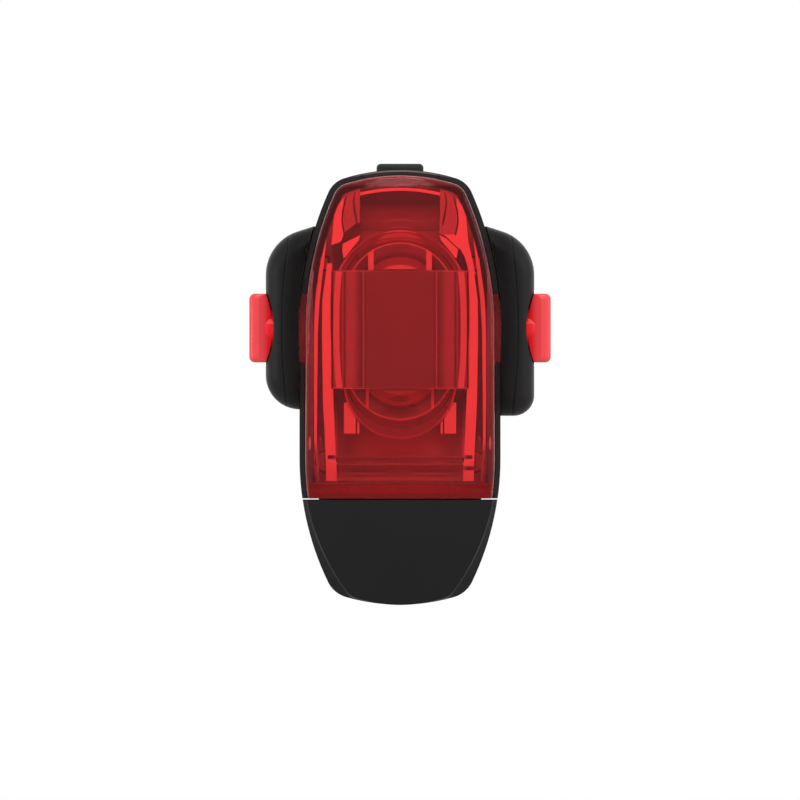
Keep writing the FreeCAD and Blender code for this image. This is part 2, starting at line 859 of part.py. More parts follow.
def strap_section(y, foot, share=0.0, inset=0.0):
    # between the tall lobe (share 0) and the band round the post (share 1)
    lobe, lobe_radii = lobe_corners(foot)
    band, band_radii = band_corners()
    points = [a * (1 - share) + b * share + V(0, y, 0) for a, b in zip(lobe, band)]
    radii = [a * (1 - share) + b * share for a, b in zip(lobe_radii, band_radii)]
    return rounded_polygon(points, radii, inset)


def housing_room():
    # the room that the housing and its ears take while the strap swings
    room = prism(-strap_gap, rim_y - lobe_nose - ear_depth, back_y + lip_front)
    room = room.common(above(seam_height))
    turned = [room]
    for angle in (-strap_swing, strap_swing):
        other = prism(-strap_gap, rim_y - lobe_nose - ear_depth, back_y)
        other.rotate(V(0, ear_y, 0), V(1, 0, 0), angle)
        turned.append(other)
    return turned


def make_strap_side(foot):
    nose_y = ear_y - lobe_nose
    lobe_start = nose_y + lobe_round
    lobe_end = nose_y + lobe_length
    nose = []
    for degrees in (0, 30, 60, 90):
        turn = math.radians(degrees)
        nose.append(strap_section(nose_y + lobe_round * (1 - math.cos(turn)), foot,
                                  inset=lobe_round * (1 - math.sin(turn))))
    lobe = Part.Face(strap_section(lobe_start, foot)).extrude(V(0, lobe_end - lobe_start, 0))
    steps = 4
    taper = []
    for i in range(steps + 1):
        t = i / steps
        taper.append(strap_section(lobe_end + (-taper_end - lobe_end) * t, foot,
                                   share=3 * t ** 2 - 2 * t ** 3))
    run = Part.Face(taper[-1]).extrude(V(0, taper_end, 0))
    side = lobe.fuse([Part.makeLoft(nose, True, False), Part.makeLoft(taper, True, False), run])
    side = side.cut(housing_room())
    side = side.cut(Part.makeCylinder(post_radius, 4 * lobe_top, V(0, 0, -2 * lobe_top)))
    side = side.cut(bulge(head_bulge_radius + head_gap, nose_y - 1,
                          ear_y + ear_depth / 2 + head_rear_gap))
    bore = Part.makeCylinder(neck_radius + neck_clearance, strap_outer, V(0, ear_y, 0), V(1, 0, 0))
    return side.cut(bore)


def make_strap():
    points, radii = band_corners()
    ring = Part.Face(rounded_polygon(points[:4], radii[:4]))
    ring = ring.revolve(V(0, 0, 0), V(0, 0, 1), 180)
    right = make_strap_side((lobe_bottom - lobe_extra_right, lobe_right_radius))
    left = make_strap_side((lobe_bottom, lobe_left_radius)).mirror(V(0, 0, 0), V(1, 0, 0))
    return ring.fuse([right, left]).removeSplitter()


def standing(points, front, back):
    # a block with this outline, standing up from the tray
    face = Part.Face(Part.makePolygon([V(x, front, z) for x, z in points + points[:1]]))
    return face.extrude(V(0, back - front, 0))


def raised(points, front, back):
    return both_sides(standing(points, front, back))


def slot_points(points):
    # the two edges of a narrow bent slot along a line of points
    half = groove_width / 2
    return [(x + half, z) for x, z in points] + [(x - half, z) for x, z in reversed(points)]


def groove_strip(points, front, back):
    return raised(slot_points(points), front, back)


def make_reflector_frame():
    base = tray_back - tray_base
    tray = prism(tray_inset, base, tray_back)
    blocks = raised(sliver, sliver_front, base) + raised(ledge, raised_front, base)
    blocks += raised(panel, raised_front, base) + raised(wedge, raised_front, base)
    blocks += [standing(right_fill, raised_front, base), standing(right_run, raised_front, base)]
    blocks += raised(leg, raised_front + 1.0, base) + raised(leg_strip, raised_front + 1.0, base)
    blocks = [b.common(prism(tray_inset, front_y, tray_back)) for b in blocks]
    arc = prism(arc_inset, raised_front, tray_back).cut(
        prism(arc_inset + arc_width, raised_front - 1, tray_back + 1))
    arc = arc.common(box(-arc_half, arc_half, -far, far, top_height * 0.7, far))
    tray = tray.fuse(blocks + [arc, ramp()] + floor_bars())
    for cut in (groove_strip(panel_groove_outer, front_y, base - 2.0)
                + groove_strip(panel_groove_inner, front_y, base - 2.0)
                + [standing(slot_points(right_groove), front_y, base - 1.7)]):
        tray = tray.cut(cut)
    x0, x1, z0, z1 = right_notch
    tray = tray.cut(box(x0, x1, front_y, base - 1.7, z0, z1))
    for x0, x1 in ((0, ledge_notch_outer), (-ledge_notch_outer, 0)):
        tray = tray.cut(box(x0, x1, front_y, base - 1.7, ledge_notch[0], ledge_notch[1]))
    tray = tray.fuse(racetrack_prism(oval_outer, oval_front + oval_flange, tray_back))
    tray = tray.cut(racetrack_prism(oval_lip + 0.1, front_y, tray_back + 1))
    tray = tray.cut(racetrack_prism(oval_outer + 0.05, front_y, oval_front + oval_flange))
    room = optic_half_width + optic_gap
    tray = tray.cut(box(-room, room, front_y, oval_front + optic_gap, optic_bottom - optic_gap,
                        optic_top + optic_gap))
    tray = tray.common(above(seam_height + lens_floor + 0.2)).common(front_barrel(lens_wall + 0.3))
    pockets = [cylinder_y(1.6, x, tray_back - 1.2, tray_back + 1, z) for x, z in board_bosses()]
    half = side_led_width / 2 + 0.3
    low = side_led_z - side_led_length / 2 - 0.3
    high = side_led_z + side_led_length / 2 + 0.3
    led_slots = [box(x - half, x + half, tray_back - 2 * tray_base, tray_back + 1, low, high)
                 for x in (side_led_x, -side_led_x)]
    return tray.cut(pockets + led_slots).removeSplitter()


def ramp():
    # sloping floor between the two corner panels
    low = top_height - ramp_low
    high = top_height - ramp_high
    points = [V(-ramp_half, tray_back, low), V(-ramp_half, tray_back - ramp_foot, low),
              V(-ramp_half, raised_front + 1.0, high), V(-ramp_half, tray_back, high)]
    return Part.Face(Part.makePolygon(points + [points[0]])).extrude(V(2 * ramp_half, 0, 0))


def floor_bars():
    # three cross bars below the oval reflector
    base = tray_back - tray_base
    half = 8.9
    bars = []
    for above_seam, rise, thick in ((5.75, 0.9, 0.4), (4.75, 1.6, 0.4), (2.55, 3.0, 0.5)):
        z = seam_height + above_seam
        bars.append(box(-half, half, base - rise, base, z, z + thick))
    return bars


def lip(z, side, rear):
    # a round segment, flat towards the optic
    radius = (lip_half ** 2 + lip_height ** 2) / (2 * lip_height)
    disc = cylinder_y(radius, 0, oval_front + 0.4, rear - 0.5, z + side * (lip_height - radius))
    return disc.common(above(z) if side > 0 else below(z))


def make_oval_reflector():
    # racetrack bowl: flange, ring step and a conical wall down to the floor with two windows
    rear = tray_back
    cone = drafted(racetrack(oval_lip, oval_front), racetrack(oval_floor + 0.9, rear))
    flange = racetrack_prism(oval_outer, oval_front, oval_front + oval_flange)
    bowl = drafted(racetrack(oval_ring, oval_front - 0.01), racetrack(oval_floor, rear - 0.7))
    step = racetrack_prism((oval_lip + oval_ring) / 2, oval_front - 1, oval_front + 0.4)
    body = cone.fuse(flange).cut([bowl, step])
    half = led_size / 2 + 0.2
    windows = [box(-half, half, rear - 2, rear + 1, z - half, z + half)
               for z in (oval_upper, oval_lower)]
    body = body.cut(windows)
    outside = racetrack_prism(oval_ring, front_y, rear)
    upper = box(bar_x[0], bar_x[1], oval_front, rear - 0.2, bar_z[0], bar_z[1])
    lower = box(bar_thin_x[0], bar_thin_x[1], oval_front, rear - 0.2, bar_low_z[0], bar_low_z[1])
    lips = [lip(optic_top + lip_gap, 1, rear), lip(optic_bottom - lip_gap, -1, rear)]
    ribs = [b.common(outside) for b in both_sides(upper) + both_sides(lower) + lips]
    return body.fuse(ribs).removeSplitter()


def make_centre_optic():
    # a curved bridge over the bowl: flat in the middle, rounded down to two side strips
    back = oval_front - 0.02

    def path(shrink):
        flat = optic_front + shrink
        half = optic_flat_half - shrink * 0.4
        shoulder = optic_shoulder - shrink
        drop = flat + (1.3 if not shrink else 1.0)
        return flat, half, shoulder, drop

    def side_curve(flat, half, shoulder, drop, z):
        middle = V((half + shoulder) / 2 + 0.35, flat + (drop - flat) * 0.3, z)
        return V(half, flat, z), middle, V(shoulder, drop, z)

    z = optic_bottom
    outer = path(0)
    a, m, b = side_curve(*outer, z)
    step = V(optic_shoulder, outer[3] + 0.35, z)
    side = V(optic_half_width, outer[3] + 0.6, z)
    foot = V(optic_half_width, back, z)
    inner_foot = V(optic_half_width - optic_wall, back, z)
    inner_top = V(optic_half_width - optic_wall, outer[3] + 0.6 + optic_wall, z)
    c, n, d = side_curve(*path(optic_wall), z)

    def flip(p):
        return V(-p.x, p.y, p.z)

    def line(p, q):
        return Part.LineSegment(p, q).toShape()

    right = [Part.Arc(a, m, b).toShape(), line(b, step), line(step, side), line(side, foot),
             line(foot, inner_foot), line(inner_foot, inner_top), line(inner_top, d),
             Part.Arc(d, n, c).toShape()]
    left = [e.mirror(V(0, 0, 0), V(1, 0, 0)) for e in right]
    wire = Part.Wire(Part.__sortEdges__(right + left + [line(a, flip(a)), line(c, flip(c))]))
    return Part.Face(wire).extrude(V(0, 0, optic_top - optic_bottom))


makers = {
    "housing": make_housing,
    "lens": make_lens,
    "reflector_frame": make_reflector_frame,
    "oval_reflector": make_oval_reflector,
    "centre_optic": make_centre_optic,
    "led_board": make_led_board,
    "main_leds": make_main_leds,
    "side_leds": make_side_leds,
    "board_components": make_board_components,
    "tact_switch": make_tact_switch,
    "switch_plunger": make_switch_plunger,
    "board_screws": make_board_screws,
    "battery": make_battery,
    "battery_pad": make_battery_pad,
    "battery_leads": make_battery_leads,
    "usb_carrier": make_usb_carrier,
    "usb_shell": make_usb_shell,
    "usb_tongue": make_usb_tongue,
    "usb_contacts": lambda: Part.makeCompound(contact_strips()),
    "cap": make_cap,
    "cap_seal": make_cap_seal,
    "button": make_button,
    "button_seal": make_button_seal,
    "saddle_pad": make_saddle_pad,
    "strap": make_strap,
}

os.makedirs("parts", exist_ok=True)
for node, make in makers.items():
    shape = make()
    shape.exportStep("parts/" + node + ".step")
    print(node, len(shape.Solids), "solids", round(shape.Volume, 1), "mm3", shape.isValid())
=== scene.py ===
import math
import bpy
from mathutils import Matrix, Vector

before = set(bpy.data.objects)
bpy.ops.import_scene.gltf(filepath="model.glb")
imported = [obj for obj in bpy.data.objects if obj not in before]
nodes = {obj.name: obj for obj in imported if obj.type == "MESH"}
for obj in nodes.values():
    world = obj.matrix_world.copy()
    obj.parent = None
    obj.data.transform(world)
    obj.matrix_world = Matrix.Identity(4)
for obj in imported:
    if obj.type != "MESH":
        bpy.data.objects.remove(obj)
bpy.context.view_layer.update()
print("frame loaded:", len(nodes), "nodes")

mm = 0.001
streakFade = (1.2, 0.8)      # a streak fades in between these shares of its half sizes


def hexLinear(code):
    # sRGB hex to linear: (c + 0.055) / 1.055 to the power 2.4, or c / 12.92 near black
    parts = [int(code[i:i + 2], 16) / 255 for i in (1, 3, 5)]
    return [c / 12.92 if c <= 0.04045 else ((c + 0.055) / 1.055) ** 2.4 for c in parts] + [1.0]


def addNode(tree, kind, links, out=0, **settings):
    # one shader node: its settings, and per socket a number, a colour or another node's output
    made = tree.nodes.new("ShaderNode" + kind)
    for name, value in settings.items():
        setattr(made, name, value)
    for socket, value in links.items():
        if isinstance(value, bpy.types.NodeSocket):
            tree.links.new(value, made.inputs[socket])
        else:
            made.inputs[socket].default_value = value
    return made.outputs[out] if made.outputs else None


def newMaterial(name):
    # an empty material, its node tree and the object coordinates in metres
    made = bpy.data.materials.new(name)
    made.use_nodes = True
    made.node_tree.nodes.clear()
    return made, made.node_tree, addNode(made.node_tree, "TexCoord", {}, "Object")


def splitPlace(tree, place):
    # the three coordinates and |x|, because both halves of the light look the same
    axes = addNode(tree, "SeparateXYZ", {0: place}).node.outputs
    return axes, addNode(tree, "Math", {0: axes["X"]}, operation="ABSOLUTE")


def streakMask(tree, place, shape):
    # soft-edged ellipse at |x| and z, bent along z + bow * x * x
    x, halfX, z, halfZ, bow = shape
    axes, side = splitPlace(tree, place)
    square = addNode(tree, "Math", {0: side, 1: side}, operation="MULTIPLY")
    bent = addNode(tree, "Math", {0: square, 1: bow, 2: axes["Z"]}, operation="MULTIPLY_ADD")
    spot = addNode(tree, "CombineXYZ", {"X": side, "Y": bent})
    spot = addNode(tree, "VectorMath", {
        0: spot, 1: (1 / (halfX * mm), 1 / (halfZ * mm), 0), 2: (-x / halfX, -z / halfZ, 0)},
        operation="MULTIPLY_ADD")
    far = addNode(tree, "VectorMath", {0: spot}, "Value", operation="LENGTH")
    return addNode(tree, "MapRange", {0: far, 1: streakFade[0], 2: streakFade[1]},
                   interpolation_type="SMOOTHSTEP")


def paintLightAndShade(tree, place, colour, lightAndShadeMarks):
    # the painted highlights and shade marks of one piece laid over its colour, in their order
    for *shape, tone in lightAndShadeMarks:
        mask = streakMask(tree, place, shape)
        colour = addNode(tree, "Mix", {0: mask, 6: colour, 7: hexLinear(tone)}, 2,
                         data_type="RGBA")
    return colour


# Black plastics
sparkTexture = {"grainMm": 0.35, "reliefMm": 0.02, "strength": 0.25, "cloudMm": 9.0,
                "cloudRange": (0.3, 0.7), "ior": 1.53}
plastics = {
    "housing": {
        "dark": "#191a17", "light": "#20211e", "roughness": (0.38, 0.5), "specular": 0.18,
        "rimFrontMm": (-29.5, -29.65),     # the depths between which the crown's painted highlight fades in
        # |x|, half width, z, half height, bow per metre and colour of the crown's painted highlight line
        "rimHighlightStreaks": [(0.0, 6.5, 21.98, 0.11, 19.2, "#706864")],
    },
    "cap": {
        "dark": "#1f1f1f", "light": "#222222", "roughness": (0.5, 0.62), "specular": 0.05,
        # |x| and z of the centre, radius and half line width of the arc where the flank starts
        "flankMm": (-16.9, -18.7, 30.42, 0.07),
        # edge is the colour of the painted highlight along the crease
        "flank": "#202020", "flankRoughness": 0.95, "edge": "#3a3a3a",
    },
}


def mouldedPlastic(name, look, skin=sparkTexture):
    # moulded ABS with a fine spark-eroded skin: matt, slightly uneven in gloss.
    # The real grain is about 0.1 mm; it is drawn three times as coarse so that it shows.
    made, tree, place = newMaterial(name)
    grain = addNode(tree, "TexNoise", {"Vector": place, "Scale": 1 / (skin["grainMm"] * mm),
                                       "Detail": 3.0})
    cloud = addNode(tree, "TexNoise", {"Vector": place, "Scale": 1 / (skin["cloudMm"] * mm),
                                       "Detail": 2.0})
    colour = addNode(tree, "Mix", {0: cloud, 6: hexLinear(look["dark"]),
                                   7: hexLinear(look["light"])}, 2, data_type="RGBA")
    rough = addNode(tree, "MapRange", {0: cloud, 1: skin["cloudRange"][0],
                                       2: skin["cloudRange"][1], 3: look["roughness"][0],
                                       4: look["roughness"][1]})
    if "rimHighlightStreaks" in look:
        # a fine painted highlight line along the crown of the rim's front
        rimHighlight = paintLightAndShade(tree, place, colour, look["rimHighlightStreaks"])
        depth = addNode(tree, "SeparateXYZ", {0: place}, "Y")
        front = addNode(tree, "MapRange", {0: depth, 1: look["rimFrontMm"][0] * mm,
                                           2: look["rimFrontMm"][1] * mm})
        colour = addNode(tree, "Mix", {0: front, 6: colour, 7: rimHighlight}, 2, data_type="RGBA")
    if "flank" in look:
        # the flanks lie outside an arc in |x| and z, duller, with a fine painted highlight line on
        # the arc
        centreX, centreZ, radius, half = [v * mm for v in look["flankMm"]]
        axes, side = splitPlace(tree, place)
        spot = addNode(tree, "CombineXYZ", {"X": side, "Y": axes["Z"]})
        far = addNode(tree, "VectorMath", {0: spot, 1: (centreX, centreZ, 0)}, "Value",
                      operation="DISTANCE")
        beyond = addNode(tree, "MapRange", {0: far, 1: radius, 2: radius + half})
        colour = addNode(tree, "Mix", {0: beyond, 6: colour, 7: hexLinear(look["flank"])}, 2,
                         data_type="RGBA")
        rough = addNode(tree, "Mix", {0: beyond, 2: rough, 3: look["flankRoughness"]})
        # painted highlight: a thin lighter line where face and flank meet
        line = addNode(tree, "Math", {0: far, 1: radius, 2: half}, operation="COMPARE")
        colour = addNode(tree, "Mix", {0: line, 6: colour, 7: hexLinear(look["edge"])}, 2,
                         data_type="RGBA")
    bump = addNode(tree, "Bump", {"Height": grain, "Strength": skin["strength"],
                                  "Distance": skin["reliefMm"] * mm})
    surface = addNode(tree, "BsdfPrincipled", {
        "Base Color": colour, "Roughness": rough, "IOR": skin["ior"],
        "Specular IOR Level": look["specular"], "Normal": bump})
    addNode(tree, "OutputMaterial", {"Surface": surface})
    return made


# Rubber
silicone = {"wideMm": 14.0, "dustRange": (0.1, 0.45), "strength": 0.8, "ior": 1.43,
            "sheenRoughness": 0.5}
rubbers = {
    "strap": {
        "dark": "#050505", "light": "#0d0d0d", "dustMm": 1.2, "reliefMm": 0.02,
        "roughness": 0.4, "specular": 0.09, "sheen": 0.13,
        "parting": {
            "atMm": 16.5, "bow": 5.8,      # the line runs where |x| + bow * z * z is atMm
            "grooveMm": (0.22, 0.05),      # distances from the line between which it sinks
            "depthMm": 0.06,
            "frontMm": (-19.0, -24.0),     # line and outer tone fade in between these depths
            "ink": 0.8, "inkTone": "#040404",
            "outerMm": (-1.8, 0.4), "outer": "#191919",   # painted lighter outside the line, as a highlight
        },
    },
    "button": {"dark": "#1a1d1c", "light": "#222625", "dustMm": 1.0, "reliefMm": 0.02,
               "roughness": 0.6, "specular": 0.2, "sheen": 0.05},
    "seal": {"dark": "#1c1c1c", "light": "#242424", "dustMm": 0.8, "reliefMm": 0.01,
             "roughness": 0.5, "specular": 0.4, "sheen": 0.1},
}


def softRubber(name, look, skin=silicone):
    # moulded silicone rubber: black, satin, with a faint dusty bloom and, on the strap, a
    # mould parting line with a painted highlight outside it. Its heights are in millimetres.
    made, tree, place = newMaterial(name)
    dust = addNode(tree, "TexNoise", {"Vector": place, "Scale": 1 / (look["dustMm"] * mm),
                                      "Detail": 5.0, "Roughness": 0.6})
    wide = addNode(tree, "TexNoise", {"Vector": place, "Scale": 1 / (skin["wideMm"] * mm),
                                      "Detail": 1.0})
    share = addNode(tree, "Math", {0: dust, 1: wide}, operation="MULTIPLY")
    share = addNode(tree, "MapRange", {0: share, 1: skin["dustRange"][0],
                                       2: skin["dustRange"][1]})
    colour = addNode(tree, "Mix", {0: share, 6: hexLinear(look["dark"]),
                                   7: hexLinear(look["light"])}, 2, data_type="RGBA")
    height = addNode(tree, "Math", {0: dust, 1: look["reliefMm"]}, operation="MULTIPLY")
    if "parting" in look:
        part = look["parting"]
        axes, side = splitPlace(tree, place)
        square = addNode(tree, "Math", {0: axes["Z"], 1: axes["Z"]}, operation="MULTIPLY")
        side = addNode(tree, "Math", {0: square, 1: part["bow"], 2: side},
                       operation="MULTIPLY_ADD")
        past = addNode(tree, "Math", {0: side, 1: part["atMm"] * mm}, operation="SUBTRACT")
        away = addNode(tree, "Math", {0: past}, operation="ABSOLUTE")
        line = addNode(tree, "MapRange", {0: away, 1: part["grooveMm"][0] * mm,
                                          2: part["grooveMm"][1] * mm},
                       interpolation_type="SMOOTHSTEP")
        front = addNode(tree, "MapRange", {0: axes["Y"], 1: part["frontMm"][0] * mm,
                                           2: part["frontMm"][1] * mm})
        line = addNode(tree, "Math", {0: line, 1: front}, operation="MULTIPLY")
        # painted highlight: the band outside the parting line is lighter
        past = addNode(tree, "MapRange", {0: past, 1: part["outerMm"][0] * mm,
                                          2: part["outerMm"][1] * mm},
                       interpolation_type="SMOOTHSTEP")
        past = addNode(tree, "Math", {0: past, 1: front}, operation="MULTIPLY")
        colour = addNode(tree, "Mix", {0: past, 6: colour, 7: hexLinear(part["outer"])}, 2,
                         data_type="RGBA")
        ink = addNode(tree, "Math", {0: line, 1: part["ink"]}, operation="MULTIPLY")
        colour = addNode(tree, "Mix", {0: ink, 6: colour, 7: hexLinear(part["inkTone"])}, 2,
                         data_type="RGBA")
        height = addNode(tree, "Math", {0: line, 1: -part["depthMm"], 2: height},
                         operation="MULTIPLY_ADD")
    bump = addNode(tree, "Bump", {"Height": height, "Strength": skin["strength"],
                                  "Distance": mm})
    surface = addNode(tree, "BsdfPrincipled", {
        "Base Color": colour, "Roughness": look["roughness"], "IOR": skin["ior"],
        "Specular IOR Level": look["specular"], "Sheen Weight": look["sheen"],
        "Sheen Roughness": skin["sheenRoughness"], "Normal": bump})
    addNode(tree, "OutputMaterial", {"Surface": surface})
    return made


# Red lens
lensLook = {
    "tint": "#ee5458",       # what one wall of 1.1 mm lets through
    "lampTint": "#fff4f4",   # each face, for light from the lamps
    "clear": 0.965,          # of the window; the rest is the moulding's own red body colour
    "rimClear": 0.88,        # of the walls and ends, which are thicker
    # the window ends between the first two in |x|, the next two below and the last two above
    "windowMm": (12.1, 12.4, -21.6, -21.9, 19.7, 20.1),
    "lowTint": "#f42e34",    # the thick end below the window, a deeper red
    "earClear": 0.06,        # the ears' heads, thick and ribbed inside, look milky
    "earTints": ("#ff242c", "#ea4d52"),
    # an ear starts and is full at the first two in |x|, its outer tint at the last two
    "earMm": (16.5, 17.5, 18.4, 19.2),
    "ior": 1.585,
    "mirror": "#7a6868",     # the polish, toned down and warm as on the real moulding
    "roughness": (0.01, 0.05),
    "swirlMm": 22.0,
    "waveMm": 0.05,
    "waveStrength": 0.15,
    # |x|, half width, z, half height, bow and clearness of milky ribs and thick places
    "ribs": [(12.6, 0.16, -16.1, 0.95, 0.0, 0.45), (11.1, 0.2, -16.1, 0.95, 0.0, 0.8),
             (14.1, 0.6, 0.0, 4.6, 0.0, 0.84), (10.4, 0.12, -22.4, 0.8, 0.0, 0.8),
             (12.3, 0.2, -4.0, 15.0, 2.0, 0.84), (11.3, 1.0, -17.8, 2.2, 0.0, 0.925),
             (0.0, 14.0, -23.6, 1.9, 0.0, 0.815), (0.0, 14.0, -21.68, 0.17, 0.0, 0.85)],
}


def redPolycarbonate(name, look):
    # clear red injection-moulded polycarbonate: polished, with faint flow waves
    made, tree, place = newMaterial(name)
    flow = addNode(tree, "TexNoise", {"Vector": place, "Scale": 1 / (look["swirlMm"] * mm),
                                      "Detail": 1.0})
    bump = addNode(tree, "Bump", {"Height": flow, "Strength": look["waveStrength"],
                                  "Distance": look["waveMm"] * mm})
    rough = addNode(tree, "MapRange", {0: flow, 3: look["roughness"][0],
                                       4: look["roughness"][1]})
    axes, side = splitPlace(tree, place)
    inner, outer, lowest, low, high, highest = [v * mm for v in look["windowMm"]]
    rim = addNode(tree, "MapRange", {0: side, 1: inner, 2: outer})
    below = addNode(tree, "MapRange", {0: axes["Z"], 1: lowest, 2: low})
    above = addNode(tree, "MapRange", {0: axes["Z"], 1: high, 2: highest})
    rim = addNode(tree, "Math", {0: rim, 1: below}, operation="MAXIMUM")
    rim = addNode(tree, "Math", {0: rim, 1: above}, operation="MAXIMUM")
    clear = addNode(tree, "MapRange", {0: rim, 3: look["clear"], 4: look["rimClear"]})
    for *shape, milky in look["ribs"]:
        mask = streakMask(tree, place, shape)
        clear = addNode(tree, "Mix", {0: mask, 2: clear, 3: milky})
    pane = addNode(tree, "Mix", {0: below, 6: hexLinear(look["tint"]),
                                 7: hexLinear(look["lowTint"])}, 2, data_type="RGBA")
    start, full, neck, head = [v * mm for v in look["earMm"]]
    ear = addNode(tree, "MapRange", {0: side, 1: start, 2: full})
    outward = addNode(tree, "MapRange", {0: side, 1: neck, 2: head})
    earTint = addNode(tree, "Mix", {0: outward, 6: hexLinear(look["earTints"][0]),
                                    7: hexLinear(look["earTints"][1])}, 2, data_type="RGBA")
    tint = addNode(tree, "Mix", {0: ear, 6: pane, 7: earTint}, 2, data_type="RGBA")
    clear = addNode(tree, "Mix", {0: ear, 2: clear, 3: look["earClear"]})
    body = addNode(tree, "BsdfPrincipled", {
        "Base Color": tint, "Roughness": rough, "IOR": look["ior"],
        "Specular Tint": hexLinear(look["mirror"]), "Transmission Weight": clear, "Normal": bump})
    lamps = addNode(tree, "BsdfTransparent", {"Color": hexLinear(look["lampTint"])})
    shadow = addNode(tree, "LightPath", {}, "Is Shadow Ray")
    both = addNode(tree, "MixShader", {0: shadow, 1: body, 2: lamps})
    addNode(tree, "OutputMaterial", {"Surface": both})
    return made


# Reflector tray
trayLook = {
    "white": "#e4dfdc",
    "floor": ("#bcb6b6", "#c8c2c2"),
    "floorSideShade": "#9c9696",
    "sideMm": (4.0, 8.0),
    "levelMm": (-32.4, -33.2),   # painted satin grey as shade behind this depth, white raised parts before it
    "rampHalfMm": 5.56,
    "rampMm": (13.0, 14.9, 17.4),  # its foot, where its painted shade starts, and its shaded upper end
    "rampShade": "#4e4949",
    "rampDropMm": 2.3,
    "cell": (6.7, 1.16, 16.2, 3.2, "#a39d9b"),   # painted shade on the upper panels: |x|, half, z, half and colour
    # |x|, half width, z, half height, bow per metre and colour of painted highlight and shade bands on the floor
    "lightAndShadeMarks": [
        (0.0, 30.0, -19.9, 1.15, 0.0, "#a29c9c"), (0.0, 30.0, -18.0, 0.3, 0.0, "#a49e9e"),
        (0.0, 30.0, -18.36, 0.2, 0.0, "#dcd6d6"), (0.0, 30.0, -18.8, 0.17, 0.0, "#8a8484"),
        (0.0, 30.0, -19.3, 0.24, 0.0, "#bcb6b6"),
        (5.4, 1.5, -18.75, 0.09, 0.0, "#aaa4a4"), (4.6, 3.2, -19.95, 0.14, 0.0, "#8a8484"),
        (4.4, 2.6, -20.3, 0.1, 0.0, "#b8b2b2"), (4.8, 2.8, -20.6, 0.12, 0.0, "#8e8888"),
        (0.0, 30.0, -21.2, 0.36, 0.0, "#9a9494"), (8.95, 0.28, -16.5, 6.0, 0.0, "#dcd6d6"),
        (0.0, 2.6, 15.1, 0.13, 50.0, "#dad4d2"), (0.0, 2.2, 14.05, 0.14, 50.0, "#e0dad8"),
    ],
    "wallShade": [(11.5, 0.9, -21.5, 5.0, 0.0, "#8e8888")],
    "grainMm": 3.5,
    "grainStrength": 0.1,
    "reliefMm": 0.05,
    "roughness": 0.4,
    "ior": 1.53,
    "specular": 0.3,
}


def reflectorPlastic(name, look):
    # white ABS whose sunk floor is painted satin grey as shade in the recess, so that raised ribs
    # read bright behind the lens
    made, tree, place = newMaterial(name)
    axes, side = splitPlace(tree, place)
    foot, darkening, top = [v * mm for v in look["rampMm"]]
    inRamp = addNode(tree, "Math", {0: side, 1: look["rampHalfMm"] * mm}, operation="LESS_THAN")
    high = addNode(tree, "Math", {0: axes["Z"], 1: foot}, operation="GREATER_THAN")
    inRamp = addNode(tree, "Math", {0: inRamp, 1: high}, operation="MULTIPLY")
    depth = addNode(tree, "Math", {0: inRamp, 1: look["rampDropMm"] * mm, 2: axes["Y"]},
                    operation="MULTIPLY_ADD")
    raised = addNode(tree, "MapRange", {0: depth, 1: look["levelMm"][0] * mm,
                                        2: look["levelMm"][1] * mm},
                     interpolation_type="SMOOTHSTEP")
    grain = addNode(tree, "TexNoise", {"Vector": place, "Scale": 1 / (look["grainMm"] * mm),
                                       "Detail": 2.0})
    floor = addNode(tree, "Mix", {0: grain, 6: hexLinear(look["floor"][0]),
                                  7: hexLinear(look["floor"][1])}, 2, data_type="RGBA")
    # painted shade: the floor darkens towards the side walls
    wide = addNode(tree, "MapRange", {0: side, 1: look["sideMm"][0] * mm,
                                      2: look["sideMm"][1] * mm})
    floor = addNode(tree, "Mix", {0: wide, 6: floor, 7: hexLinear(look["floorSideShade"])}, 2,
                    data_type="RGBA")
    # painted shade: the ramp darkens towards its upper end
    fade = addNode(tree, "MapRange", {0: axes["Z"], 1: darkening, 2: top})
    fade = addNode(tree, "Math", {0: fade, 1: inRamp}, operation="MULTIPLY")
    floor = addNode(tree, "Mix", {0: fade, 6: floor, 7: hexLinear(look["rampShade"])}, 2,
                    data_type="RGBA")
    # painted highlights and shade bands on the floor
    floor = paintLightAndShade(tree, place, floor, look["lightAndShadeMarks"])
    # painted shade on the white upper panels
    x, halfX, z, halfZ, tone = look["cell"]
    wide = addNode(tree, "Math", {0: side, 1: x * mm, 2: halfX * mm}, operation="COMPARE")
    tall = addNode(tree, "Math", {0: axes["Z"], 1: z * mm, 2: halfZ * mm}, operation="COMPARE")
    cell = addNode(tree, "Math", {0: wide, 1: tall}, operation="MULTIPLY")
    white = addNode(tree, "Mix", {0: cell, 6: hexLinear(look["white"]), 7: hexLinear(tone)}, 2,
                    data_type="RGBA")
    white = paintLightAndShade(tree, place, white, look["wallShade"])
    # painted shade: the sunk floor is grey, the raised parts white
    colour = addNode(tree, "Mix", {0: raised, 6: floor, 7: white}, 2, data_type="RGBA")
    bump = addNode(tree, "Bump", {"Height": grain, "Strength": look["grainStrength"],
                                  "Distance": look["reliefMm"] * mm})
    surface = addNode(tree, "BsdfPrincipled", {
        "Base Color": colour, "Roughness": look["roughness"], "IOR": look["ior"],
        "Specular IOR Level": look["specular"], "Normal": bump})
    addNode(tree, "OutputMaterial", {"Surface": surface})
    return made


